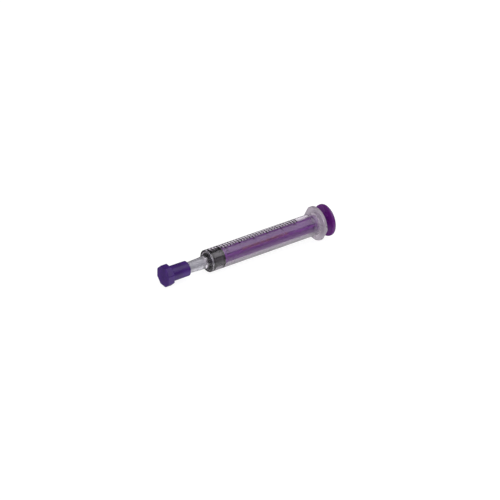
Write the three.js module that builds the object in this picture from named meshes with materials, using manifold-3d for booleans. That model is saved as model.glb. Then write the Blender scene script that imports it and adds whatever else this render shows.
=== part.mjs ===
// Oral syringe, 3 mL: a clear barrel, a purple plunger rod, a rubber seal and a push-on tip cap.
// Millimetres, +Z up. The axis runs along X, with the tip towards -X and the thumb disc towards +X.
// The origin lies under the middle of the length, level with the lowest point of the finger flange.
import * as THREE from 'three';
import { mergeVertices } from 'three/addons/utils/BufferGeometryUtils.js';
import Module from 'manifold-3d';

const wasm = await Module();
wasm.setup();

// Stations are distances along the axis from the front face of the cap.
// Directions about the axis are degrees from +Z towards -Y.
const roundSides = 64;
const arcSteps = 3;
const runningGap = 0.05;
const seatGap = 0.1;

const cap = {
  headSides: 8,
  headLength: 3.4,
  headCornerRadius: 5.3,
  headCornerRound: 0.8,
  headCornerDirection: 25,
  headBevel: 0.25,
  headOverlap: 0.8,
  skirtRootRadius: 3.7,
  skirtMouthRadius: 3.62,
  mouth: 13.3,
  mouthEdge: 0.25,
  socketEnd: 5.9,
};

const nozzle = {
  tip: 6.2,
  tipRadius: 2.24,
  tipEdge: 0.2,
  rootRadius: 3.1,
  rootFillet: 0.35,
  boreTipRadius: 0.9,
  boreRootRadius: 1.1,
};

const barrel = {
  shoulder: 24.4,
  radius: 5.4,
  shoulderEdge: 0.45,
  boreRadius: 4.47,
  floor: 25.4,
  floorCone: 0.5,
  ridgeStart: 83.9,
  ridgeLength: 0.9,
  ridgeHeight: 0.17,
  mouthChamfer: 0.3,
};

const flange = {
  front: 86.95,
  rear: 88.75,
  radius: 8.36,
  edge: 0.2,
  fillet: 0.5,
  flatDistance: 7.65,
  flatDirections: [-60, 120],
};

const seal = {
  ribRadius: barrel.boreRadius - runningGap,
  ribLength: 1.1,
  ribEdge: 0.2,
  waistRadius: 4.0,
  ribSlope: 0.3,
  length: 6.7,
  cavityRadius: 3.1,
  cavityStart: 1.7,
  cavityEnd: 4.9,
  neckRadius: 2.15,
};

const rod = {
  headGap: 0.08,
  discRadius: 4.05,
  frontDisc: 1.0,
  guideDiscStart: 85.6,
  guideDisc: 1.9,
  discEdge: 0.15,
  ribRadius: 3.6,
  ribThickness: 1.05,
  ribCornerFillet: 0.35,
  ribDirection: 69,
  thumbFront: 92.8,
  thumbRadius: 7.9,
  thumbEdge: 0.4,
  thumbDishRadius: 6.2,
  thumbDishDepth: 0.25,
};

const totalLength = 94.2;
const sealFront = barrel.floor + seatGap;
const sealRear = sealFront + seal.length;

function radians(degrees) {
  return THREE.MathUtils.degToRad(degrees);
}

// Radius of the tapered nozzle at a station.
function nozzleRadius(station) {
  const along = (station - nozzle.tip) / (barrel.shoulder - nozzle.tip);
  return THREE.MathUtils.lerp(nozzle.tipRadius, nozzle.rootRadius, along);
}

// Points [station, radius] of a quarter round about a centre, from one angle to another.
// Angle 0 points along +X and 90 points away from the axis.
function arc(station, radius, size, startDegrees, endDegrees) {
  const points = [];
  for (let step = 0; step <= arcSteps; step += 1) {
    const angle = radians(THREE.MathUtils.lerp(startDegrees, endDegrees, step / arcSteps));
    points.push([station + size * Math.cos(angle), radius + size * Math.sin(angle)]);
  }
  return points;
}

// Turns a profile of [station, radius] points about X. Outer walls run towards +X.
function revolve(points) {
  const profile = points.map(([station, radius]) => new THREE.Vector2(radius, station));
  const geometry = new THREE.LatheGeometry(profile, roundSides);
  geometry.rotateZ(-Math.PI / 2);
  return geometry;
}

// Lays an extrusion along X, starting at a station.
function layAlongAxis(geometry, station) {
  geometry.rotateY(Math.PI / 2);
  geometry.translate(station, 0, 0);
  return geometry;
}

// Makes a manifold solid from a closed geometry, without the flat triangles at its poles.
function solidFrom(geometry) {
  const bare = geometry.clone();
  bare.deleteAttribute('normal');
  bare.deleteAttribute('uv');
  const merged = mergeVertices(bare, 1e-4);
  const triangles = [];
  for (let start = 0; start < merged.index.count; start += 3) {
    const [a, b, c] = [0, 1, 2].map((corner) => merged.index.getX(start + corner));
    if (a !== b && b !== c && c !== a) triangles.push(a, b, c);
  }
  return new wasm.Manifold(new wasm.Mesh({
    numProp: 3,
    vertProperties: new Float32Array(merged.attributes.position.array),
    triVerts: new Uint32Array(triangles),
  }));
}

function geometryFrom(solid) {
  const result = solid.getMesh();
  const geometry = new THREE.BufferGeometry();
  geometry.setAttribute('position', new THREE.BufferAttribute(result.vertProperties, 3));
  geometry.setIndex(new THREE.BufferAttribute(result.triVerts, 1));
  geometry.computeVertexNormals();
  return geometry;
}

function piece(name, solid, look) {
  const mesh = new THREE.Mesh(geometryFrom(solid), new THREE.MeshStandardMaterial(look));
  mesh.name = name;
  return mesh;
}

// One moulding: tapered nozzle, flat shoulder, tube and finger flange, bored right through.
function barrelProfile() {
  const flangeWall = flange.radius - flange.edge;
  const ridgeRadius = barrel.boreRadius - barrel.ridgeHeight;
  const shoulderWall = barrel.radius - barrel.shoulderEdge;
  return [
    [nozzle.tip, nozzle.boreTipRadius],
    [nozzle.tip, nozzle.tipRadius - nozzle.tipEdge],
    [nozzle.tip + nozzle.tipEdge, nozzleRadius(nozzle.tip + nozzle.tipEdge)],
    [barrel.shoulder - nozzle.rootFillet, nozzleRadius(barrel.shoulder - nozzle.rootFillet)],
    [barrel.shoulder, nozzle.rootRadius + nozzle.rootFillet],
    ...arc(barrel.shoulder + barrel.shoulderEdge, shoulderWall, barrel.shoulderEdge, 180, 90),
    [flange.front - flange.fillet, barrel.radius],
    [flange.front, barrel.radius + flange.fillet],
    ...arc(flange.front + flange.edge, flangeWall, flange.edge, 180, 90),
    ...arc(flange.rear - flange.edge, flangeWall, flange.edge, 90, 0),
    [flange.rear, barrel.boreRadius + barrel.mouthChamfer],
    [flange.rear - barrel.mouthChamfer, barrel.boreRadius],
    [barrel.ridgeStart + barrel.ridgeLength, barrel.boreRadius],
    [barrel.ridgeStart + barrel.ridgeLength / 2, ridgeRadius],
    [barrel.ridgeStart, barrel.boreRadius],
    [barrel.floor, barrel.boreRadius],
    [barrel.floor - barrel.floorCone, nozzle.boreRootRadius],
    [nozzle.tip, nozzle.boreTipRadius],
  ];
}

// Block that takes the round edge of the flange down to a flat that faces one direction.
function flatCutter(direction) {
  const size = 2 * flange.radius;
  const length = 2 * (flange.rear - flange.front);
  const geometry = new THREE.BoxGeometry(length, size, size);
  geometry.translate((flange.front + flange.rear) / 2, 0, flange.flatDistance + size / 2);
  geometry.rotateX(radians(direction));
  return solidFrom(geometry);
}

function makeBarrel() {
  let solid = solidFrom(revolve(barrelProfile()));
  for (const direction of flange.flatDirections) solid = solid.subtract(flatCutter(direction));
  return piece('barrel', solid, {
    color: '#dfe4ea', roughness: 0.15, metalness: 0, transparent: true, opacity: 0.35,
  });
}

// Rubber stopper: shallow cone in front, a rib at each end and a hollow for the rod's head.
function makeSeal() {
  const waistStart = sealFront + seal.ribLength + seal.ribSlope;
  const waistEnd = sealRear - seal.ribLength - seal.ribSlope;
  const ribWall = seal.ribRadius - seal.ribEdge;
  const profile = [
    [sealFront - barrel.floorCone, 0],
    ...arc(sealFront + seal.ribEdge, ribWall, seal.ribEdge, 180, 90),
    [sealFront + seal.ribLength, seal.ribRadius],
    [waistStart, seal.waistRadius],
    [waistEnd, seal.waistRadius],
    [sealRear - seal.ribLength, seal.ribRadius],
    ...arc(sealRear - seal.ribEdge, ribWall, seal.ribEdge, 90, 0),
    [sealRear, seal.neckRadius],
    [sealFront + seal.cavityEnd, seal.neckRadius],
    [sealFront + seal.cavityEnd, seal.cavityRadius],
    [sealFront + seal.cavityStart, seal.cavityRadius],
    [sealFront + seal.cavityStart, 0],
  ];
  return piece('plunger_seal', solidFrom(revolve(profile)), {
    color: '#232326', roughness: 0.55, metalness: 0,
  });
}

// Button head and neck that hold the seal, and the disc that pushes on the seal's back.
function rodHead() {
  const headRadius = seal.cavityRadius - rod.headGap;
  const neckRadius = seal.neckRadius - rod.headGap;
  const headFront = sealFront + seal.cavityStart + seatGap;
  const headRear = sealFront + seal.cavityEnd - seatGap;
  const discFront = sealRear + seatGap;
  const discWall = rod.discRadius - rod.discEdge;
  return solidFrom(revolve([
    [headFront, 0],
    [headFront, neckRadius],
    [(headFront + headRear) / 2, headRadius],
    [headRear, headRadius],
    [headRear, neckRadius],
    [discFront, neckRadius],
    ...arc(discFront + rod.discEdge, discWall, rod.discEdge, 180, 90),
    [discFront + rod.frontDisc, rod.discRadius],
    [discFront + rod.frontDisc, 0],
  ]));
}

// Disc that keeps the rod central in the mouth of the barrel.
function rodGuideDisc() {
  const start = rod.guideDiscStart;
  const wall = rod.discRadius - rod.discEdge;
  return solidFrom(revolve([
    [start, 0],
    ...arc(start + rod.discEdge, wall, rod.discEdge, 180, 90),
    ...arc(start + rod.guideDisc - rod.discEdge, wall, rod.discEdge, 90, 0),
    [start + rod.guideDisc, 0],
  ]));
}

// Shaft of four ribs, one outline extruded from the front disc into the thumb disc.
function rodShaft() {
  const start = sealRear + seatGap + rod.frontDisc / 2;
  const length = rod.thumbFront + rod.thumbEdge - start;
  const half = rod.ribThickness / 2;
  const inner = half + rod.ribCornerFillet;
  const outline = new THREE.Shape();
  for (let quarter = 0; quarter < 4; quarter += 1) {
    const turn = (quarter * Math.PI) / 2;
    const corners = [[rod.ribRadius, -half], [rod.ribRadius, half], [inner, half]];
    for (const [out, side] of corners) {
      const x = out * Math.cos(turn) - side * Math.sin(turn);
      const y = out * Math.sin(turn) + side * Math.cos(turn);
      if (outline.curves.length === 0 && outline.currentPoint.lengthSq() === 0) outline.moveTo(x, y);
      else outline.lineTo(x, y);
    }
    const x = inner * Math.cos(turn) - inner * Math.sin(turn);
    const y = inner * Math.sin(turn) + inner * Math.cos(turn);
    const fillet = rod.ribCornerFillet;
    outline.absarc(x, y, fillet, turn - Math.PI / 2, turn - Math.PI, true);
  }
  outline.closePath();
  const geometry = new THREE.ExtrudeGeometry(outline, {
    depth: length, bevelEnabled: false, curveSegments: arcSteps,
  });
  geometry.rotateZ(radians(rod.ribDirection));
  return solidFrom(layAlongAxis(geometry, start));
}

// Thumb disc with rounded edges and a shallow dish on the thumb side.
function rodThumbDisc() {
  const wall = rod.thumbRadius - rod.thumbEdge;
  const dish = totalLength - rod.thumbDishDepth;
  return solidFrom(revolve([
    [rod.thumbFront, 0],
    ...arc(rod.thumbFront + rod.thumbEdge, wall, rod.thumbEdge, 180, 90),
    ...arc(totalLength - rod.thumbEdge, wall, rod.thumbEdge, 90, 0),
    [totalLength, rod.thumbDishRadius],
    [dish, rod.thumbDishRadius - rod.thumbDishDepth],
    [dish, 0],
  ]));
}

function makeRod() {
  const solid = rodHead().add(rodShaft()).add(rodGuideDisc()).add(rodThumbDisc());
  return piece('plunger_rod', solid, { color: '#4c2a85', roughness: 0.35, metalness: 0 });
}

// Eight-sided head with rounded corners and bevelled edges.
function capHead() {
  const outline = new THREE.Shape();
  const halfTurn = Math.PI / cap.headSides;
  const centreRadius = cap.headCornerRadius - cap.headCornerRound / Math.cos(halfTurn);
  const round = cap.headCornerRound - cap.headBevel;
  for (let corner = 0; corner < cap.headSides; corner += 1) {
    const angle = 2 * halfTurn * corner + radians(cap.headCornerDirection);
    const x = centreRadius * Math.cos(angle);
    const y = centreRadius * Math.sin(angle);
    outline.absarc(x, y, round, angle - halfTurn, angle + halfTurn, false);
  }
  outline.closePath();
  const geometry = new THREE.ExtrudeGeometry(outline, {
    depth: cap.headLength - 2 * cap.headBevel,
    bevelThickness: cap.headBevel,
    bevelSize: cap.headBevel,
    bevelSegments: 2,
    curveSegments: arcSteps,
    steps: 1,
  });
  return solidFrom(layAlongAxis(geometry, cap.headBevel));
}

// Round skirt with the tapered socket that grips the nozzle.
function capSkirt() {
  const rim = cap.mouth - cap.mouthEdge;
  return solidFrom(revolve([
    [cap.headLength - cap.headOverlap, 0],
    [cap.headLength - cap.headOverlap, cap.skirtRootRadius],
    ...arc(rim, cap.skirtMouthRadius - cap.mouthEdge, cap.mouthEdge, 90, 0),
    [cap.mouth, nozzleRadius(cap.mouth) + runningGap],
    [cap.socketEnd, nozzleRadius(cap.socketEnd) + runningGap],
    [cap.socketEnd, 0],
  ]));
}

function makeCap() {
  const solid = capHead().add(capSkirt());
  return piece('tip_cap', solid, { color: '#52308c', roughness: 0.4, metalness: 0 });
}

const syringe = new THREE.Group();
syringe.add(makeBarrel(), makeSeal(), makeRod(), makeCap());
syringe.position.set(-totalLength / 2, 0, flange.radius);

export default syringe;
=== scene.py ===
import bmesh
import bpy
import numpy as np
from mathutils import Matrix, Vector


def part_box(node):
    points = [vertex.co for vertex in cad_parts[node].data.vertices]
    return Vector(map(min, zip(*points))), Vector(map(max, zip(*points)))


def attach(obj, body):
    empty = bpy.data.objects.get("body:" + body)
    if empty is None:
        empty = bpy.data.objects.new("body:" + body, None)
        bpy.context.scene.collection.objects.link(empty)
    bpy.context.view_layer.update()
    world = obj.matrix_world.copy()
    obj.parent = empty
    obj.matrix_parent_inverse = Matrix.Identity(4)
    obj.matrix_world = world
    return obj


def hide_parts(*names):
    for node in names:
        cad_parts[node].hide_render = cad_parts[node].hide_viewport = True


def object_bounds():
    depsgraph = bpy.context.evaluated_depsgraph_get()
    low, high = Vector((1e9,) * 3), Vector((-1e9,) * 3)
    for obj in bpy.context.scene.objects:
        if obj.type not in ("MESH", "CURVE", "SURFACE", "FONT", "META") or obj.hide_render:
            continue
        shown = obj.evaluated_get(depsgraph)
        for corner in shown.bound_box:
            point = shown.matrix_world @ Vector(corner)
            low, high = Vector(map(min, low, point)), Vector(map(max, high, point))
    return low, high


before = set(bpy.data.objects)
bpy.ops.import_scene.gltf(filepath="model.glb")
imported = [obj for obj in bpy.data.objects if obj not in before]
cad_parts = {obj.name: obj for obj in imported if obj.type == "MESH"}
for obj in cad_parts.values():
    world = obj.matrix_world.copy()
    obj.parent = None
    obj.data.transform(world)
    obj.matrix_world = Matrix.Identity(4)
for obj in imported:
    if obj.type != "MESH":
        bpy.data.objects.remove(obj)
cadLow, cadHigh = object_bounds()
print("frame loaded,", len(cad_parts), "nodes")

mm = 0.001
hair = 0.01  # mm, slack where stations are compared
weld = 1e-7  # metres, points closer than this become one
barrelLow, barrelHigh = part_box("barrel")
axisStart = np.array([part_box("tip_cap")[0].x, 0.0, (barrelLow.z + barrelHigh.z) / 2])  # station 0


def stationX(station):
    # Millimetres along the syringe to metres in the frame.
    return axisStart[0] + station * mm


def rounded(corners, closed=False, steps=6, sideShare=0.49):
    # Corner list (station, radius, rounding): each corner becomes an arc that touches both its sides,
    # and takes at most sideShare of the shorter one. An arc's point is its first and last radius
    # blended by the sines of the angles left and gone.
    points = np.array([c[:2] for c in corners], float)
    count = len(points)
    out = []
    for i in range(count):
        here, size = points[i], corners[i][2]
        atEnd = not closed and i in (0, count - 1)
        before, after = points[i - 1], points[(i + 1) % count]
        toBefore, toAfter = before - here, after - here
        room = min(np.linalg.norm(toBefore), np.linalg.norm(toAfter))
        if atEnd or size == 0 or room == 0:
            out.append(here)
            continue
        toBefore, toAfter = toBefore / np.linalg.norm(toBefore), toAfter / np.linalg.norm(toAfter)
        halfTurn = np.arccos(np.clip(toBefore @ toAfter, -1, 1)) / 2
        reach = min(size / np.tan(halfTurn), sideShare * room)
        size = reach * np.tan(halfTurn)
        middle = toBefore + toAfter
        centre = here + middle / np.linalg.norm(middle) * size / np.sin(halfTurn)
        first, last = here + toBefore * reach - centre, here + toAfter * reach - centre
        sweep = np.pi - 2 * halfTurn
        t = np.linspace(0, 1, steps + 1)[:, None]
        arc = (np.sin((1 - t) * sweep) * first + np.sin(t * sweep) * last) / np.sin(sweep)
        out.extend(centre + arc)
    return np.array(out)


def subdivided(line, longest, closed=False, margin=0.04):
    # Splits long straight stretches, and adds a row close to each end of them so shading stays crisp.
    nextPoints = np.roll(line, -1, axis=0) if closed else line[1:]
    shortest = 6 * margin
    out = []
    for here, there in zip(line, nextPoints):
        length = np.linalg.norm(there - here)
        shares = [0.0]
        if length > shortest:
            parts = int(np.ceil((length - 2 * margin) / longest))
            shares = np.r_[0, np.linspace(margin, length - margin, parts + 1) / length]
        out.extend(here + (there - here) * share for share in shares)
    if not closed:
        out.append(line[-1])
    return np.array(out)


def evenOutline(corners, columns):
    # Rounds an outline about the axis and walks it in even steps: reach and direction of each step.
    outline = rounded(corners, closed=True)
    loop = np.vstack([outline, outline[:1]])
    lengths = np.r_[0, np.cumsum(np.linalg.norm(np.diff(loop, axis=0), axis=1))]
    even = np.linspace(0, lengths[-1], columns, endpoint=False)
    outline = np.stack([np.interp(even, lengths, loop[:, k]) for k in (0, 1)], -1)
    return np.linalg.norm(outline, axis=1), np.arctan2(outline[:, 1], outline[:, 0])


def around(stations, radii, directions):
    # Point at a station: radius times (-sin, cos) of the direction about the axis.
    stations, radii, directions = np.broadcast_arrays(stations, radii, directions)
    return np.stack([stations, -radii * np.sin(directions), radii * np.cos(directions)], -1)


def meshFromGrid(name, grid, closedRows=False):
    # A grid of points (row, column, xyz) in millimetres becomes quads; columns always close on themselves.
    rows, columns = grid.shape[:2]
    index = np.arange(rows * columns).reshape(rows, columns)
    if closedRows:
        index = np.vstack([index, index[:1]])
    quads = np.stack([index[:-1], index[1:], np.roll(index, -1, 1)[1:], np.roll(index, -1, 1)[:-1]], -1)
    places = grid.reshape(-1, 3) * mm + axisStart
    mesh = bpy.data.meshes.new(name)
    mesh.vertices.add(len(places))
    mesh.vertices.foreach_set("co", places.astype(np.float32).ravel())
    mesh.loops.add(quads.size)
    mesh.loops.foreach_set("vertex_index", quads.reshape(-1).astype(np.int32))
    mesh.polygons.add(quads.size // 4)
    mesh.polygons.foreach_set("loop_start", np.arange(0, quads.size, 4, dtype=np.int32))
    mesh.update(calc_edges=True)
    return finishedPiece(name, mesh)


def finishedPiece(name, mesh, sharpAngle=40):
    # Merges doubled points at poles and seams, turns faces outwards and shades smooth between sharp edges.
    shape = bmesh.new()
    shape.from_mesh(mesh)
    bmesh.ops.remove_doubles(shape, verts=shape.verts, dist=weld)
    bmesh.ops.dissolve_degenerate(shape, edges=shape.edges, dist=weld)
    bmesh.ops.recalc_face_normals(shape, faces=shape.faces)
    shape.to_mesh(mesh)
    shape.free()
    mesh.polygons.foreach_set("use_smooth", np.ones(len(mesh.polygons), bool))
    mesh.set_sharp_from_angle(angle=np.radians(sharpAngle))
    piece = bpy.data.objects.new(name, mesh)
    bpy.context.scene.collection.objects.link(piece)
    return piece


def placed(piece, body, slot, material, *nodes):
    # Gives a piece its material and its body, and hides the nodes that it stands for.
    piece.data.materials.clear()
    piece.data.materials.append(material)
    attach(piece, body)
    if nodes:
        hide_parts(*nodes)
    return piece


def linear(hexColour):
    # sRGB hex to linear RGBA.
    values = np.array([int(hexColour[i:i + 2], 16) / 255 for i in (1, 3, 5)])
    low, high = values / 12.92, ((values + 0.055) / 1.055) ** 2.4
    return (*np.where(values <= 0.04045, low, high).tolist(), 1.0)


def addNode(tree, kind, inputs=None, **settings):
    # One node: settings are its properties, and each input is set to a value or linked to a socket.
    node = tree.nodes.new(kind)
    for name, value in settings.items():
        setattr(node, name, value)
    for name, value in (inputs or {}).items():
        if isinstance(value, bpy.types.NodeSocket):
            tree.links.new(value, node.inputs[name])
        else:
            node.inputs[name].default_value = value
    return node


def newMaterial(name):
    material = bpy.data.materials.new(name)
    material.use_nodes = True
    material.node_tree.nodes.clear()
    return material, material.node_tree


firstColour, secondColour, mixedColour = 6, 7, 2  # the colour sockets of a Mix node
# The noise values between which a pattern goes from one end to the other.
colourSpread = {"From Min": 0.35, "From Max": 0.65}
glossSpread = {"From Min": 0.3, "From Max": 0.7}
inkSpread = {"From Min": 0.4, "From Max": 0.7}


def mouldedPlastic(name, look):
    # Moulded polypropylene: even colour with slow flow clouding, fine tool texture and a soft gloss.
    material, tree = newMaterial(name)
    place = addNode(tree, "ShaderNodeTexCoord").outputs["Object"]
    clouds = addNode(tree, "ShaderNodeTexNoise", {
        "Vector": place, "Scale": 1 / (look["cloudSize"] * mm), "Detail": 2.0,
    }).outputs["Fac"]
    grain = addNode(tree, "ShaderNodeTexNoise", {
        "Vector": place, "Scale": 1 / (look["grainSize"] * mm), "Detail": 3.0,
    }).outputs["Fac"]
    cloudShare = addNode(tree, "ShaderNodeMapRange", {"Value": clouds, **colourSpread}).outputs[0]
    colour = addNode(tree, "ShaderNodeMix", {
        "Factor": cloudShare, firstColour: linear(look["dark"]), secondColour: linear(look["light"]),
    }, data_type="RGBA").outputs[mixedColour]
    if "thin" in look:  # painted light: the thin shaft is painted paler, for light that passes through it
        along = addNode(tree, "ShaderNodeSeparateXYZ", {"Vector": place}).outputs["X"]
        thickShare = addNode(tree, "ShaderNodeMapRange", {
            "Value": along, "From Min": stationX(look["thickEnd"][0]),
            "From Max": stationX(look["thickEnd"][1]),
        }).outputs[0]
        colour = addNode(tree, "ShaderNodeMix", {
            "Factor": thickShare, firstColour: linear(look["thin"]), secondColour: colour,
        }, data_type="RGBA").outputs[mixedColour]
    gloss = addNode(tree, "ShaderNodeMapRange", {
        "Value": clouds, **glossSpread, "To Min": look["roughness"][0], "To Max": look["roughness"][1],
    }).outputs[0]
    bump = addNode(tree, "ShaderNodeBump", {
        "Height": grain, "Strength": look["bump"], "Distance": look["bumpDepth"] * mm,
    }).outputs["Normal"]
    shader = addNode(tree, "ShaderNodeBsdfPrincipled", {
        "Base Color": colour, "Roughness": gloss, "Normal": bump, "IOR": look["ior"],
        "Specular IOR Level": look["specular"],
    })
    addNode(tree, "ShaderNodeOutputMaterial", {"Surface": shader.outputs[0]})
    return material


# Sizes are millimetres. The real tool texture is finer, and is drawn this coarse so that it shows.
# The plunger's thin colour is painted light: the shaft is painted paler than the thick end, for light that
# passes through it.
purplePlunger = mouldedPlastic("purple_polypropylene_gloss", {
    "dark": "#551868", "light": "#632276", "thin": "#86349e", "thickEnd": (90.5, 93.0),
    "cloudSize": 9, "grainSize": 0.25, "bump": 0.25, "bumpDepth": 0.02,
    "roughness": (0.24, 0.34), "specular": 0.32, "ior": 1.49,
})
purpleCap = mouldedPlastic("purple_polypropylene_satin", {
    "dark": "#33125b", "light": "#3f1870",
    "cloudSize": 5, "grainSize": 0.18, "bump": 0.5, "bumpDepth": 0.02,
    "roughness": (0.3, 0.4), "specular": 0.33, "ior": 1.49,
})


def makeClearPlastic(look):
    # Clear polypropylene moulding: the thin tube is clear, the thick tip and flange are greyer and
    # hazier, and lamps pass to what is inside.
    material, tree = newMaterial("clear_polypropylene_moulded")
    place = addNode(tree, "ShaderNodeTexCoord").outputs["Object"]
    flow = addNode(tree, "ShaderNodeTexNoise", {
        "Vector": place, "Scale": 1 / (look["flowSize"] * mm), "Detail": 2.0,
    }).outputs["Fac"]
    bump = addNode(tree, "ShaderNodeBump", {
        "Height": flow, "Strength": look["bump"], "Distance": look["bumpDepth"] * mm,
    }).outputs["Normal"]
    along = addNode(tree, "ShaderNodeSeparateXYZ", {"Vector": place}).outputs["X"]
    atTip, atFlange = (
        addNode(tree, "ShaderNodeMapRange", {
            "Value": along, "From Min": stationX(fade[0]), "From Max": stationX(fade[1]),
            "To Min": before, "To Max": after,
        }).outputs[0]
        for fade, before, after in ((look["tipFade"], 1, 0), (look["flangeFade"], 0, 1))
    )
    tint = addNode(tree, "ShaderNodeMix", {
        "Factor": atTip, firstColour: linear(look["tubeTint"]), secondColour: linear(look["tipTint"]),
    }, data_type="RGBA").outputs[mixedColour]
    tint = addNode(tree, "ShaderNodeMix", {
        "Factor": atFlange, firstColour: tint, secondColour: linear(look["flangeTint"]),
    }, data_type="RGBA").outputs[mixedColour]
    thick = addNode(tree, "ShaderNodeMath", {0: atTip, 1: atFlange}, operation="ADD").outputs[0]
    gloss = addNode(tree, "ShaderNodeMapRange", {
        "Value": flow, **glossSpread, "To Min": look["roughness"][0], "To Max": look["roughness"][1],
    }).outputs[0]
    # Haze adds to the roughness where the wall is thick, and milkiness takes from its clearness.
    hazy = addNode(tree, "ShaderNodeMath", {0: thick, 1: look["haze"], 2: gloss},
                   operation="MULTIPLY_ADD").outputs[0]
    clearness = addNode(tree, "ShaderNodeMath", {0: thick, 1: -look["milk"], 2: look["clear"]},
                        operation="MULTIPLY_ADD").outputs[0]
    shader = addNode(tree, "ShaderNodeBsdfPrincipled", {
        "Base Color": tint, "Roughness": hazy, "Normal": bump, "IOR": look["ior"],
        "Transmission Weight": clearness,
    })
    passing = addNode(tree, "ShaderNodeBsdfTransparent", {"Color": linear(look["shade"])})
    path = addNode(tree, "ShaderNodeLightPath")
    mix = addNode(tree, "ShaderNodeMixShader", {
        0: path.outputs["Is Shadow Ray"], 1: shader.outputs[0], 2: passing.outputs[0],
    })
    addNode(tree, "ShaderNodeOutputMaterial", {"Surface": mix.outputs[0]})
    return material


clearPlastic = makeClearPlastic({
    "tubeTint": "#d7cfda", "tipTint": "#c2c0c8", "flangeTint": "#cac0cb", "shade": "#f4f4f8",
    "clear": 1.0, "milk": 0.3, "roughness": (0.1, 0.18), "haze": 0.15, "ior": 1.49,
    "tipFade": (22.0, 23.6), "flangeFade": (84, 87), "flowSize": 6, "bump": 0.15, "bumpDepth": 0.05,
})


def makeRubber(look):
    # Moulded bromobutyl rubber with a silicone film: near black, satin, with a fine skin texture.
    material, tree = newMaterial("bromobutyl_rubber_moulded")
    place = addNode(tree, "ShaderNodeTexCoord").outputs["Object"]
    skin = addNode(tree, "ShaderNodeTexNoise", {
        "Vector": place, "Scale": 1 / (look["skinSize"] * mm), "Detail": 3.0,
    }).outputs["Fac"]
    colour = addNode(tree, "ShaderNodeMix", {
        "Factor": skin, firstColour: linear(look["dark"]), secondColour: linear(look["light"]),
    }, data_type="RGBA").outputs[mixedColour]
    gloss = addNode(tree, "ShaderNodeMapRange", {
        "Value": skin, **glossSpread, "To Min": look["roughness"][0], "To Max": look["roughness"][1],
    }).outputs[0]
    bump = addNode(tree, "ShaderNodeBump", {
        "Height": skin, "Strength": look["bump"], "Distance": look["bumpDepth"] * mm,
    }).outputs["Normal"]
    shader = addNode(tree, "ShaderNodeBsdfPrincipled", {
        "Base Color": colour, "Roughness": gloss, "Normal": bump, "IOR": look["ior"],
    })
    addNode(tree, "ShaderNodeOutputMaterial", {"Surface": shader.outputs[0]})
    return material


blackRubber = makeRubber({
    "dark": "#0c0b0c", "light": "#171516", "skinSize": 0.3, "bump": 0.3, "bumpDepth": 0.02,
    "roughness": (0.3, 0.42), "ior": 1.52,
})


def makeInk(name, look):
    # Pad-printed ink: matt, thin and slightly uneven in cover.
    material, tree = newMaterial(name)
    place = addNode(tree, "ShaderNodeTexCoord").outputs["Object"]
    cover = addNode(tree, "ShaderNodeTexNoise", {
        "Vector": place, "Scale": 1 / (look["coverSize"] * mm), "Detail": 2.0,
    }).outputs["Fac"]
    fadedShare = addNode(tree, "ShaderNodeMapRange", {"Value": cover, **inkSpread}).outputs[0]
    colour = addNode(tree, "ShaderNodeMix", {
        "Factor": fadedShare, firstColour: linear(look["full"]), secondColour: linear(look["faded"]),
    }, data_type="RGBA").outputs[mixedColour]
    shader = addNode(tree, "ShaderNodeBsdfPrincipled", {
        "Base Color": colour, "Roughness": look["roughness"], "Specular IOR Level": look["specular"],
    })
    addNode(tree, "ShaderNodeOutputMaterial", {"Surface": shader.outputs[0]})
    return material


blackInk = makeInk("pad_printed_ink_black", {
    "full": "#0c070e", "faded": "#140d17", "coverSize": 0.4, "roughness": 0.6, "specular": 0.2,
})
redInk = makeInk("pad_printed_ink_red", {
    "full": "#7e4b48", "faded": "#94665c", "coverSize": 0.4, "roughness": 0.6, "specular": 0.2,
})
print("materials mixed")


barrel = {
    "nozzleTip": 6.2, "nozzleTipRadius": 2.24, "nozzleTipEdge": 0.25, "nozzleRootRadius": 3.1,
    "nozzleRootFillet": 0.8, "tipBore": 0.9, "tipBoreEdge": 0.1, "rootBore": 1.1, "rootBoreEdge": 0.2,
    "shoulder": 24.4, "radius": 5.4, "shoulderEdge": 0.45, "bore": 4.47, "boreEdge": 0.1,
    "floor": 25.4, "floorCone": 0.5, "floorEdge": 0.15, "mouthChamfer": 0.3,
    "ridgeStart": 83.9, "ridgeLength": 0.9, "ridgeHeight": 0.17, "ridgeRound": 0.3,
    "flangeFront": 86.95, "flangeRear": 88.75, "flangeRadius": 8.36, "flangeEdge": 0.2,
    "flangeFillet": 0.5, "flatDistance": 7.65, "flatDirections": (-60, 120), "flatPower": 70,
    "leastFacing": 0.05, "columns": 288, "rowSpacing": 1.5,
}


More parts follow.
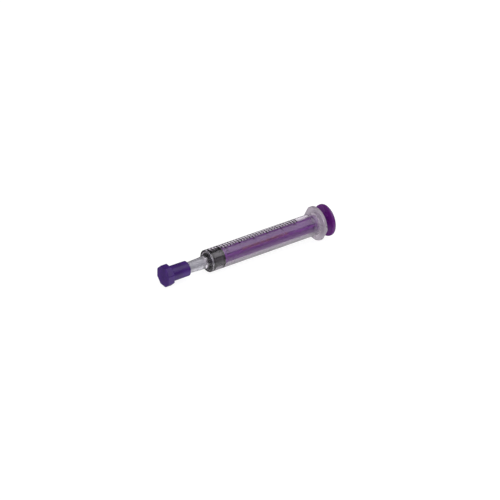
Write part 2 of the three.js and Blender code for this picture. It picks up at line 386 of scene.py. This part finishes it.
def makeBarrel():
    # The outline of wall and bore, turned about the axis. A flat is a straight line across the flange:
    # its reach is its distance over the cosine of the turn, blended with the round rim by high powers.
    bore, ridgeStart, small = barrel["bore"], barrel["ridgeStart"], barrel["boreEdge"]
    ridgeMiddle, ridgeEnd = ridgeStart + barrel["ridgeLength"] / 2, ridgeStart + barrel["ridgeLength"]
    line = subdivided(rounded([
        (barrel["nozzleTip"], barrel["tipBore"], barrel["tipBoreEdge"]),
        (barrel["nozzleTip"], barrel["nozzleTipRadius"], barrel["nozzleTipEdge"]),
        (barrel["shoulder"], barrel["nozzleRootRadius"], barrel["nozzleRootFillet"]),
        (barrel["shoulder"], barrel["radius"], barrel["shoulderEdge"]),
        (barrel["flangeFront"], barrel["radius"], barrel["flangeFillet"]),
        (barrel["flangeFront"], barrel["flangeRadius"], barrel["flangeEdge"]),
        (barrel["flangeRear"], barrel["flangeRadius"], barrel["flangeEdge"]),
        (barrel["flangeRear"], bore + barrel["mouthChamfer"], small),
        (barrel["flangeRear"] - barrel["mouthChamfer"], bore, small),
        (ridgeEnd, bore, small),
        (ridgeMiddle, bore - barrel["ridgeHeight"], barrel["ridgeRound"]),
        (ridgeStart, bore, small),
        (barrel["floor"], bore, barrel["floorEdge"]),
        (barrel["floor"] - barrel["floorCone"], barrel["rootBore"], barrel["rootBoreEdge"]),
    ], closed=True), barrel["rowSpacing"], closed=True)
    turn = np.linspace(0, 2 * np.pi, barrel["columns"], endpoint=False)
    stations, radii = line[:, :1], line[:, 1:]
    reach = np.full_like(turn, barrel["flangeRadius"]) ** -barrel["flatPower"]
    for direction in barrel["flatDirections"]:
        facing = np.maximum(np.cos(turn - np.radians(direction)), barrel["leastFacing"])
        reach = reach + (barrel["flatDistance"] / facing) ** -barrel["flatPower"]
    reach = reach ** (-1 / barrel["flatPower"])
    root = barrel["radius"] + barrel["flangeFillet"]
    outside = (stations > barrel["flangeFront"] - hair) & (radii > root)
    pulledIn = root + (radii - root) * (reach[None] - root) / (barrel["flangeRadius"] - root)
    radii = np.where(outside, pulledIn, radii)
    piece = meshFromGrid("clear_barrel", around(stations, radii, turn[None]), closedRows=True)
    return placed(piece, "barrel", "clear_barrel", clearPlastic, "barrel")


# The ribs and the front face wet the barrel's wall: the rubber reaches 5 microns into it, so no air
# shows between them, and they look black right out to the edge.
seal = {"front": 25.395, "length": 6.805, "cone": 0.5, "tipFlat": 1.1, "tipEdge": 0.1, "rib": 4.475,
        "ribLength": 1.3, "ribSlope": 0.3, "ribEdge": 0.25, "waist": 4.3, "shoulderRound": 0.55,
        "cavity": 3.1, "cavityStart": 1.805, "cavityEnd": 5.005, "cavityRearEdge": 0.1,
        "cavityFrontEdge": 0.2, "neck": 2.15, "neckEdge": 0.2, "columns": 192, "rowSpacing": 0.8}


def makeSeal():
    # The outline of the rubber and its hollow, turned about the axis.
    front, rear = seal["front"], seal["front"] + seal["length"]
    ribEnd, ribStart = front + seal["ribLength"], rear - seal["ribLength"]
    line = subdivided(rounded([
        (front - seal["cone"], 0, 0),
        (front - seal["cone"], seal["tipFlat"], seal["tipEdge"]),
        (front, seal["rib"], seal["shoulderRound"]),
        (ribEnd, seal["rib"], seal["ribEdge"]),
        (ribEnd + seal["ribSlope"], seal["waist"], seal["ribEdge"]),
        (ribStart - seal["ribSlope"], seal["waist"], seal["ribEdge"]),
        (ribStart, seal["rib"], seal["ribEdge"]),
        (rear, seal["rib"], seal["ribEdge"]),
        (rear, seal["neck"], seal["neckEdge"]),
        (front + seal["cavityEnd"], seal["neck"], seal["neckEdge"]),
        (front + seal["cavityEnd"], seal["cavity"], seal["cavityRearEdge"]),
        (front + seal["cavityStart"], seal["cavity"], seal["cavityFrontEdge"]),
        (front + seal["cavityStart"], 0, 0),
    ]), seal["rowSpacing"])
    turn = np.linspace(0, 2 * np.pi, seal["columns"], endpoint=False)
    piece = meshFromGrid("rubber_seal", around(line[:, :1], line[:, 1:], turn[None]))
    return placed(piece, "seal", "black_rubber", blackRubber, "plunger_seal")


rod = {"headFront": 27.3, "headRear": 30.3, "headRadius": 3.02, "headFrontEdge": 0.2, "headRound": 0.4,
       "headRearEdge": 0.1, "neckRadius": 2.07, "discFront": 32.3, "discRadius": 4.05, "discLength": 1.0,
       "discEdge": 0.15, "guideStart": 85.6, "guideLength": 1.9, "ribRadius": 3.6, "ribThickness": 1.05,
       "ribEdge": 0.2, "ribFillet": 0.4, "ribDirection": 69, "ribOverlap": 0.2, "core": 0.45,
       "thumbFront": 92.8, "thumbRadius": 7.9, "thumbEdge": 0.4, "rear": 94.2, "dishRadius": 6.2,
       "dishDepth": 0.25, "dishEdge": 0.15, "gripRings": (2.4, 3.6, 4.8), "ringHeight": 0.12,
       "ringFoot": 0.25, "ringTop": 0.1, "ringEdge": 0.1, "columns": 384, "rowSpacing": 1.5}


def makeRod():
    # Discs are an outline turned about the axis. Between them each row takes the larger of the outline's
    # radius and the reach of the four-ribbed cross.
    half, tip = rod["ribThickness"] / 2, rod["ribRadius"]
    corners = []
    for quarter in range(4):  # four ribs, each with two tip corners and the notch after it
        c, s = np.cos(quarter * np.pi / 2), np.sin(quarter * np.pi / 2)
        for out, side, size in ((tip, -half, rod["ribEdge"]), (tip, half, rod["ribEdge"]),
                                (half, half, rod["ribFillet"])):
            corners.append((out * c - side * s, out * s + side * c, size))
    reach, turn = evenOutline(corners, rod["columns"])
    turn = turn + np.radians(rod["ribDirection"])

    discRear = rod["discFront"] + rod["discLength"]
    guideRear = rod["guideStart"] + rod["guideLength"]
    dish = rod["rear"] - rod["dishDepth"]
    ringFace = dish + rod["ringHeight"]
    rings = []
    for ring in reversed(rod["gripRings"]):  # raised rings for the thumb, inside the dish
        rings += [(dish, ring + rod["ringFoot"], rod["ringEdge"]),
                  (ringFace, ring + rod["ringTop"], rod["ringEdge"]),
                  (ringFace, ring - rod["ringTop"], rod["ringEdge"]),
                  (dish, ring - rod["ringFoot"], rod["ringEdge"])]
    line = subdivided(rounded([
        (rod["headFront"], 0, 0),
        (rod["headFront"], rod["neckRadius"], rod["headFrontEdge"]),
        ((rod["headFront"] + rod["headRear"]) / 2, rod["headRadius"], rod["headRound"]),
        (rod["headRear"], rod["headRadius"], rod["headRearEdge"]),
        (rod["headRear"], rod["neckRadius"], rod["headRearEdge"]),
        (rod["discFront"], rod["neckRadius"], 0),
        (rod["discFront"], rod["discRadius"], rod["discEdge"]),
        (discRear, rod["discRadius"], rod["discEdge"]),
        (discRear, rod["core"], 0),
        (rod["guideStart"], rod["core"], 0),
        (rod["guideStart"], rod["discRadius"], rod["discEdge"]),
        (guideRear, rod["discRadius"], rod["discEdge"]),
        (guideRear, rod["core"], 0),
        (rod["thumbFront"], rod["core"], 0),
        (rod["thumbFront"], rod["thumbRadius"], rod["thumbEdge"]),
        (rod["rear"], rod["thumbRadius"], rod["thumbEdge"]),
        (rod["rear"], rod["dishRadius"], rod["dishEdge"]),
        (dish, rod["dishRadius"] - rod["dishDepth"], rod["dishEdge"]),
        *rings,
        (dish, 0, 0),
    ]), rod["rowSpacing"])
    stations, radii = line[:, :1], line[:, 1:]
    ribsFrom, ribsTo = rod["discFront"] + rod["ribOverlap"], rod["thumbFront"] + rod["ribOverlap"]
    ribbed = (stations > ribsFrom) & (stations < ribsTo)
    radii = np.maximum(radii, np.where(ribbed, reach[None], 0))
    piece = meshFromGrid("plunger_rod_moulding", around(stations, radii, turn[None]))
    return placed(piece, "plunger", "purple_plunger", purplePlunger, "plunger_rod")


cap = {"headLength": 3.4, "sides": 8, "corner": 5.3, "cornerRound": 0.8, "cornerDirection": 25,
       "headEdge": 0.3, "skirtRoot": 3.7, "skirtMouth": 3.62, "rootFillet": 0.3, "mouth": 13.3,
       "mouthEdge": 0.3, "socketMouthEdge": 0.15, "socketEnd": 5.9, "socketEndEdge": 0.2, "gap": 0.05,
       "gateRadius": 0.7, "gateSlope": 0.15, "gateEdge": 0.1, "gateDepth": 0.12, "columns": 360,
       "rowSpacing": 1.0}


def nozzleRadius(station):
    # A straight taper from the nozzle's tip to its root.
    share = (station - barrel["nozzleTip"]) / (barrel["shoulder"] - barrel["nozzleTip"])
    return barrel["nozzleTipRadius"] + share * (barrel["nozzleRootRadius"] - barrel["nozzleTipRadius"])


def makeCap():
    # The outline of skirt and socket, turned about the axis. The head's rows carry the eight-sided
    # outline, which fades to round between the head's edge and the skirt.
    angles = np.arange(cap["sides"]) * 2 * np.pi / cap["sides"] + np.radians(cap["cornerDirection"])
    corners = [(cap["corner"] * np.cos(a), cap["corner"] * np.sin(a), cap["cornerRound"]) for a in angles]
    reach, turn = evenOutline(corners, cap["columns"])
    flat = cap["corner"] * np.cos(np.pi / cap["sides"])
    line = subdivided(rounded([
        (cap["gateDepth"], 0, 0),
        (cap["gateDepth"], cap["gateRadius"] - cap["gateSlope"], cap["gateEdge"]),
        (0, cap["gateRadius"], cap["gateEdge"]),
        (0, flat, cap["headEdge"]),
        (cap["headLength"], flat, cap["headEdge"]),
        (cap["headLength"], cap["skirtRoot"], cap["rootFillet"]),
        (cap["mouth"], cap["skirtMouth"], cap["mouthEdge"]),
        (cap["mouth"], nozzleRadius(cap["mouth"]) + cap["gap"], cap["socketMouthEdge"]),
        (cap["socketEnd"], nozzleRadius(cap["socketEnd"]) + cap["gap"], cap["socketEndEdge"]),
        (cap["socketEnd"], 0, 0),
    ]), cap["rowSpacing"])
    stations, radii = line[:, :1], line[:, 1:]
    fade = np.clip((radii - cap["skirtRoot"]) / (flat - cap["headEdge"] - cap["skirtRoot"]), 0, 1)
    fade = np.where(stations < cap["headLength"] + hair, fade, 0)
    radii = radii * (1 + fade * (reach[None] / flat - 1))
    piece = meshFromGrid("tip_cap_moulding", around(stations, radii, turn[None]))
    return placed(piece, "cap", "purple_cap", purpleCap, "tip_cap")


ink = {"under": 0.01, "over": 0.012, "arcStep": 3, "zero": 26.1, "millilitre": 16.0, "perMillilitre": 10,
       "marks": 32, "long": 5, "start": -19, "shortEnd": 15, "longEnd": 23, "width": 0.6,
       "numeralStart": 25, "numeralHeight": 0.95, "numeralShare": 0.7, "numeralWeld": 1e-4,
       "rowStart": 46, "rowEnd": 63, "rowFirst": 41.8, "barWidth": 0.2, "barStep": 0.6,
       "barInsets": (0, 1.5, 3), "words": (5, 4, 6, 3, 5, 7, 4, 3)}


def strips(name, rows):
    # Thin solid patches on the barrel. Each row gives a first and last station, and a first and last
    # direction. A patch is four arcs, two just under the surface and two just over it.
    inner, outer = barrel["radius"] - ink["under"], barrel["radius"] + ink["over"]
    verts, faces = [], []
    for first, last, low, high in rows:
        count = max(2, int(abs(high - low) / ink["arcStep"]) + 1)
        turn = np.radians(np.linspace(low, high, count))
        arcs = [around(s, r, turn) for s, r in ((first, inner), (last, inner), (last, outer), (first, outer))]
        starts = len(verts) + count * np.arange(4)
        verts.extend(np.concatenate(arcs).tolist())
        along = np.arange(count - 1)
        for a, b in zip(starts, np.roll(starts, -1)):
            faces.extend(np.stack([a + along, b + along, b + along + 1, a + along + 1], -1).tolist())
        faces.append(starts.tolist())
        faces.append((starts[::-1] + count - 1).tolist())
    mesh = bpy.data.meshes.new(name)
    mesh.from_pydata((np.array(verts) * mm + axisStart).tolist(), [], faces)
    return finishedPiece(name, mesh)


def makeMarks():
    # A mark for each tenth of a millilitre, with a longer one for each half.
    rows = []
    for mark in range(ink["marks"]):
        middle = ink["zero"] + mark * ink["millilitre"] / ink["perMillilitre"]
        end = ink["longEnd"] if mark % ink["long"] == 0 else ink["shortEnd"]
        rows.append((middle - ink["width"] / 2, middle + ink["width"] / 2, ink["start"], end))
    return placed(strips("scale_marks", rows), "barrel", "black_ink", blackInk)


def makeBars():
    # Groups of plain bars stand where a line of small print would be.
    rows = []
    place = ink["rowFirst"]
    for word in ink["words"]:
        for bar in range(word):
            inset = ink["barInsets"][(bar + word) % len(ink["barInsets"])]
            rows.append((place, place + ink["barWidth"], ink["rowStart"] + inset, ink["rowEnd"]))
            place += ink["barStep"]
        place += ink["barStep"]
    return placed(strips("printed_bars", rows), "barrel", "red_ink", redInk)


def makeNumerals():
    # Numbers read with the tip up: across the barrel, with their tops towards the tip. A letter's x
    # becomes an angle, x over the barrel's radius, and its y a station. Its z tells the half millilitre.
    whole = bmesh.new()
    for half in range(1, ink["marks"] // ink["long"] + 1):
        letters = bpy.data.curves.new("numeral", "FONT")
        letters.body = f"{half / 2:g}"
        letters.size = ink["numeralHeight"] / ink["numeralShare"]
        letters.align_x = "RIGHT"
        holder = bpy.data.objects.new("numeral", letters)
        flatMesh = bpy.data.meshes.new_from_object(holder)
        points = np.empty(len(flatMesh.vertices) * 3, np.float32)
        flatMesh.vertices.foreach_get("co", points)
        points = points.reshape(-1, 3)
        points[:, 1] -= (points[:, 1].min() + points[:, 1].max()) / 2
        points[:, 2] = half
        flatMesh.vertices.foreach_set("co", points.ravel())
        whole.from_mesh(flatMesh)
        bpy.data.objects.remove(holder)
        bpy.data.meshes.remove(flatMesh)
        bpy.data.curves.remove(letters)
    bmesh.ops.remove_doubles(whole, verts=whole.verts, dist=ink["numeralWeld"])
    bmesh.ops.triangulate(whole, faces=whole.faces)
    bmesh.ops.subdivide_edges(whole, edges=whole.edges, cuts=2, use_grid_fill=True)
    mesh = bpy.data.meshes.new("scale_numerals")
    whole.to_mesh(mesh)
    whole.free()
    points = np.empty(len(mesh.vertices) * 3, np.float32)
    mesh.vertices.foreach_get("co", points)
    points = points.reshape(-1, 3).astype(float)
    stations = ink["zero"] + points[:, 2] * ink["millilitre"] / 2 - points[:, 1]
    turn = np.radians(ink["numeralStart"]) - points[:, 0] / barrel["radius"]
    places = around(stations, barrel["radius"] + ink["over"], turn) * mm + axisStart
    mesh.vertices.foreach_set("co", places.astype(np.float32).ravel())
    piece = finishedPiece("scale_numerals", mesh)
    solid = piece.modifiers.new("ink thickness", "SOLIDIFY")
    solid.thickness = (ink["over"] + ink["under"]) * mm
    solid.offset = -1
    return placed(piece, "barrel", "black_ink", blackInk)


makeBarrel()
print("barrel made")
makeSeal()
print("seal made")
makeRod()
print("plunger rod made")
makeCap()
print("cap made")
makeMarks()
makeBars()
makeNumerals()
print("scale printed")


studio = {
    "floorSize": 6.0, "floorDrop": 0.02, "floorColour": "#f6f6f6", "floorGlow": 0.9, "floorMatt": 0.2,
    "keyPlace": (0.51, -0.32, 0.79), "keySize": 0.9, "keyPower": 3.0,
    "fillPlace": (-0.8, -0.35, 0.35), "fillSize": 0.5, "fillPower": 2.2,
    "whiteStrength": 1.0, "domeStrength": 0.65,
    # Brightness of a direction, from straight down (-1) to straight up (1). Gloss sees the room, in
    # front of the syringe and behind it, and the clear barrel lets the windows in.
    "roomFront": ((-1.0, 0.3), (-0.8, 0.55), (-0.65, 1.0), (-0.35, 1.0), (-0.02, 0.04), (0.2, 0.05),
                  (0.5, 0.15), (1.0, 0.2)),
    "roomBack": ((-1.0, 0.4), (-0.5, 0.25), (-0.1, 0.06), (0.4, 0.1), (1.0, 0.3)),
    "windows": ((-1.0, 0.3), (-0.75, 0.36), (-0.5, 0.5), (-0.1, 0.9), (0.3, 1.0), (0.5, 0.4), (1.0, 0.3)),
    "frontStrength": 1.6, "backStrength": 1.0, "windowStrength": 1.5, "frontToBack": (-0.2, 0.2),
}


def makeFloor():
    # The floor touches the flange's rim and the lowest corner of the cap.
    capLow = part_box("tip_cap")[0]
    touchCap = Vector((stationX(cap["headLength"] / 2), 0, capLow.z))
    touchFlange = Vector((stationX(barrel["flangeFront"]), 0, barrelLow.z))
    slope = (touchCap.z - touchFlange.z) / (touchCap.x - touchFlange.x)
    half = studio["floorSize"] / 2
    corners = [(x, y, touchFlange.z + (x - touchFlange.x) * slope - studio["floorDrop"] * mm)
               for x, y in ((-half, -half), (half, -half), (half, half), (-half, half))]
    mesh = bpy.data.meshes.new("floor")
    mesh.from_pydata(corners, [], [(0, 1, 2, 3)])
    floor = bpy.data.objects.new("floor", mesh)
    bpy.context.scene.collection.objects.link(floor)
    # Backlit white card: mostly its own glow, so the piece throws only a faint shadow.
    material, tree = newMaterial("backlit_white_card")
    card = addNode(tree, "ShaderNodeBsdfDiffuse", {"Color": linear(studio["floorColour"])})
    glow = addNode(tree, "ShaderNodeEmission", {"Strength": studio["floorGlow"] / (1 - studio["floorMatt"])})
    mix = addNode(tree, "ShaderNodeMixShader", {
        0: studio["floorMatt"], 1: glow.outputs[0], 2: card.outputs[0],
    })
    addNode(tree, "ShaderNodeOutputMaterial", {"Surface": mix.outputs[0]})
    mesh.materials.append(material)
    floor.visible_glossy = False  # gloss and the clear barrel see the room instead
    floor.visible_transmission = False


def makeLamp(name, place, size, power):
    # A round softbox that faces the syringe.
    lamp = bpy.data.lights.new(name, "AREA")
    lamp.shape, lamp.size, lamp.energy = "DISK", size, power
    holder = bpy.data.objects.new(name, lamp)
    holder.location = place
    toSyringe = Vector((0, 0, axisStart[2])) - Vector(place)
    holder.rotation_euler = toSyringe.to_track_quat("-Z", "Y").to_euler()
    holder.visible_camera = False
    bpy.context.scene.collection.objects.link(holder)


def skyByHeight(tree, height, stops, strength):
    # A sky whose brightness follows the stops, from straight down to straight up.
    share = addNode(tree, "ShaderNodeMapRange", {"Value": height, "From Min": -1, "From Max": 1})
    sky = addNode(tree, "ShaderNodeValToRGB", {"Fac": share.outputs[0]})
    marks = sky.color_ramp.elements
    while len(marks) < len(stops):
        marks.new(1.0)
    for mark, (place, level) in zip(marks, stops):
        mark.position, mark.color = (place + 1) / 2, (level, level, level, 1)
    return addNode(tree, "ShaderNodeBackground", {"Color": sky.outputs["Color"], "Strength": strength})


def makeWorld():
    # White to the camera and an even dome to matt surfaces. Gloss sees a bright table in front and a dim
    # room behind, and the clear barrel lets in light from windows around the horizon.
    world = bpy.data.worlds.new("studio")
    world.use_nodes = True
    tree = world.node_tree
    tree.nodes.clear()
    direction = addNode(tree, "ShaderNodeSeparateXYZ", {
        "Vector": addNode(tree, "ShaderNodeTexCoord").outputs["Generated"],
    })
    front, back, windows = (
        skyByHeight(tree, direction.outputs["Z"], studio[stops], studio[strength])
        for stops, strength in (("roomFront", "frontStrength"), ("roomBack", "backStrength"),
                                ("windows", "windowStrength"))
    )
    behind = addNode(tree, "ShaderNodeMapRange", {
        "Value": direction.outputs["Y"], "From Min": studio["frontToBack"][0],
        "From Max": studio["frontToBack"][1],
    })
    dome, white = (
        addNode(tree, "ShaderNodeBackground", {"Color": (1, 1, 1, 1), "Strength": studio[strength]})
        for strength in ("domeStrength", "whiteStrength")
    )
    ray = addNode(tree, "ShaderNodeLightPath")
    sky = addNode(tree, "ShaderNodeMixShader", {
        0: behind.outputs[0], 1: front.outputs[0], 2: back.outputs[0],
    })
    for kind, shade in (("Is Transmission Ray", windows), ("Is Diffuse Ray", dome), ("Is Camera Ray", white)):
        sky = addNode(tree, "ShaderNodeMixShader", {
            0: ray.outputs[kind], 1: sky.outputs[0], 2: shade.outputs[0],
        })
    addNode(tree, "ShaderNodeOutputWorld", {"Surface": sky.outputs[0]})
    bpy.context.scene.world = world


# Degrees, then metres, then the lens and its film in millimetres. The camera aims a little right of the
# middle of the syringe and a little below it, in millimetres.
view = {"azimuth": -35.717, "elevation": 29.156, "distance": 1.2, "near": 0.01, "far": 20,
        "lens": 184.17, "film": 36, "right": 1.8, "down": 1.18}


def makeCamera():
    # Azimuth turns it about +Z from straight in front, and elevation lifts it.
    a, e = np.radians(view["azimuth"]), np.radians(view["elevation"])
    back = Vector((np.sin(a) * np.cos(e), -np.cos(a) * np.cos(e), np.sin(e)))
    right = (-back).cross(Vector((0, 0, 1))).normalized()
    up = right.cross(-back)
    middle = Vector(((cadLow.x + cadHigh.x) / 2, axisStart[1], axisStart[2]))
    aim = middle + right * view["right"] * mm - up * view["down"] * mm
    data = bpy.data.cameras.new("camera")
    data.sensor_width, data.lens = view["film"], view["lens"]
    data.clip_start, data.clip_end = view["near"], view["far"]
    camera = bpy.data.objects.new("camera", data)
    camera.location = aim + back * view["distance"]
    camera.rotation_euler = (-back).to_track_quat("-Z", "Y").to_euler()
    bpy.context.scene.collection.objects.link(camera)
    bpy.context.scene.camera = camera


makeFloor()
makeLamp("key_softbox", studio["keyPlace"], studio["keySize"], studio["keyPower"])
makeLamp("fill_softbox", studio["fillPlace"], studio["fillSize"], studio["fillPower"])
makeWorld()
makeCamera()
bpy.context.scene.view_settings.view_transform = "Standard"
print("studio ready")
